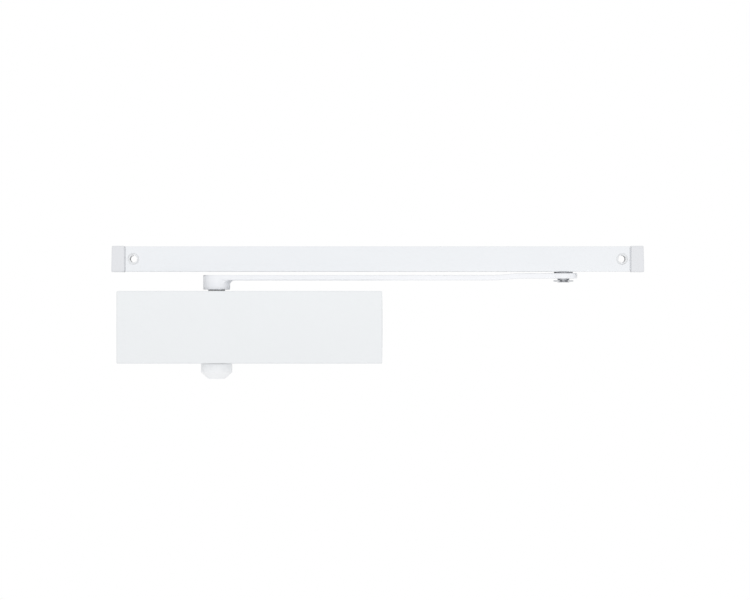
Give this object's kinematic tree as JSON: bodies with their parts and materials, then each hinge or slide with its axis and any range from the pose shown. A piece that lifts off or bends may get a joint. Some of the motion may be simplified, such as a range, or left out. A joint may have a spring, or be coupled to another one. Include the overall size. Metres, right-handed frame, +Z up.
{
  "type": "slide-rail door closer",
  "caption": "Surface-mounted door closer with a box cover, rack-and-pinion drive, flat arm, and a guide rail with slider and end caps.",
  "frame": {"origin": "middle of the body's four fixing holes, on the mounting plane that touches the door", "axes": "+X along the body and the rail from the pinion towards the slider, +Y into the door, +Z up; -Y faces the room"},
  "size_m": [0.4504, 0.0445, 0.1125],
  "materials": {
    "cover_paint": "fine satin powder coat, near white with a faint cool tint",
    "arm_paint": "satin powder coat on forged steel, near white",
    "rail_paint": "satin coat on extruded aluminium, near white",
    "cap_plastic": "moulded plastic, near white, satin",
    "end_plastic": "moulded plastic, near white, a shade greyer than the rail",
    "slider_plastic": "acetal, natural, waxy",
    "cast_body": "die-cast, lightly blasted",
    "bearing_steel": "ground",
    "plated_steel": "zinc plated",
    "pin_steel": "turned and zinc plated",
    "hard_steel": "hardened, oiled",
    "spring_sheet": "spring steel, bright",
    "spring_wire": "oil-tempered wire, dark",
    "valve_brass": "turned",
    "block_plastic": "moulded plastic, near white",
    "shaft_nickel": "hardened, satin nickel plate",
    "seal_rubber": "nitrile, matte"
  },
  "bodies": {
    "body": {"housing": "cast_body", "bearing_upper": "bearing_steel", "bearing_lower": "bearing_steel", "bearing_nut_upper": "plated_steel", "bearing_nut_lower": "plated_steel", "shaft_seal_upper": "seal_rubber", "shaft_seal_lower": "seal_rubber", "end_plug_left": "plated_steel", "end_plug_right": "plated_steel", "plug_seal_left": "seal_rubber", "plug_seal_right": "seal_rubber", "power_screw_seal": "seal_rubber", "cover_clip_left": "spring_sheet", "cover_clip_right": "spring_sheet", "clip_screws": "plated_steel", "main_spring": "spring_wire"},
    "cover": {"cover": "cover_paint"},
    "arm": {"pinion": "shaft_nickel", "arm": "arm_paint", "arm_screw": "plated_steel"},
    "shaft_cap": {"shaft_cap": "cap_plastic"},
    "piston": {"piston": "hard_steel", "piston_seal": "seal_rubber", "check_cage": "plated_steel"},
    "check_ball": {"check_ball": "bearing_steel"},
    "spring_seat": {"spring_seat": "plated_steel"},
    "power_screw": {"power_screw": "plated_steel"},
    "closing_speed_valve": {"closing_speed_valve": "valve_brass", "closing_speed_seal": "seal_rubber"},
    "latching_speed_valve": {"latching_speed_valve": "valve_brass", "latching_speed_seal": "seal_rubber"},
    "backcheck_valve": {"backcheck_valve": "valve_brass", "backcheck_seal": "seal_rubber"},
    "slider": {"slider": "slider_plastic", "slider_pin": "pin_steel", "clip_ring": "spring_sheet"},
    "rail": {"rail": "rail_paint", "rail_block_left": "block_plastic", "rail_block_right": "block_plastic"},
    "rail_cap_left": {"rail_cap_left": "end_plastic"},
    "rail_cap_right": {"rail_cap_right": "end_plastic"}
  },
  "joints": [
    {"name": "arm_swing", "type": "hinge", "parent": "body", "child": "arm", "pos_m": [-0.028, -0.021, 0], "axis": [0, 0, 1], "range_deg": [0, 155], "stiffness_Nm_per_rad": 7.2, "springref_deg": -143.24},
    {"name": "piston_travel", "type": "slide", "parent": "body", "child": "piston", "axis": [1, 0, 0], "range_m": [0, 0.0245], "deforming": ["main_spring"]},
    {"name": "check_ball_lift", "type": "slide", "parent": "piston", "child": "check_ball", "axis": [-1, 0, 0], "range_m": [0, 0.0006]},
    {"name": "slider_pivot", "type": "hinge", "parent": "arm", "child": "slider", "pos_m": [0.2654, -0.021, 0.0577], "axis": [0, 0, 1], "range_deg": [-90, 90]},
    {"name": "rail_travel", "type": "slide", "parent": "slider", "child": "rail", "axis": [1, 0, 0], "range_m": [-0.028, 0.342]},
    {"name": "rail_cap_left_release", "type": "slide", "parent": "rail", "child": "rail_cap_left", "axis": [-1, 0, 0], "range_m": [0, 0.02]},
    {"name": "rail_cap_right_release", "type": "slide", "parent": "rail", "child": "rail_cap_right", "axis": [1, 0, 0], "range_m": [0, 0.02]},
    {"name": "cover_release", "type": "slide", "parent": "body", "child": "cover", "axis": [0, -1, 0], "range_m": [0, 0.06]},
    {"name": "shaft_cap_release", "type": "slide", "parent": "arm", "child": "shaft_cap", "axis": [0, 0, -1], "range_m": [0, 0.016]},
    {"name": "power_screw_turn", "type": "hinge", "parent": "body", "child": "power_screw", "pos_m": [0.0985, -0.021, 0], "axis": [1, 0, 0], "range_deg": [-1090, 0]},
    {"name": "spring_seat_travel", "type": "slide", "parent": "body", "child": "spring_seat", "axis": [1, 0, 0], "range_m": [-0.006, 0]},
    {"name": "closing_speed_turn", "type": "hinge", "parent": "body", "child": "closing_speed_valve", "pos_m": [-0.0985, -0.021, 0.022], "axis": [1, 0, 0], "range_deg": [-180, 180]},
    {"name": "latching_speed_turn", "type": "hinge", "parent": "body", "child": "latching_speed_valve", "pos_m": [-0.0985, -0.021, -0.022], "axis": [1, 0, 0], "range_deg": [-180, 180]},
    {"name": "backcheck_turn", "type": "hinge", "parent": "body", "child": "backcheck_valve", "pos_m": [-0.0985, -0.033, 0.02], "axis": [1, 0, 0], "range_deg": [-180, 180]}
  ],
  "couplings": [
    {"joint": "piston_travel", "follows": "arm_swing", "m_per_rad": 0.009},
    {"joint": "power_screw_turn", "follows": "spring_seat_travel", "rad_per_m": 3141.6}
  ]
}
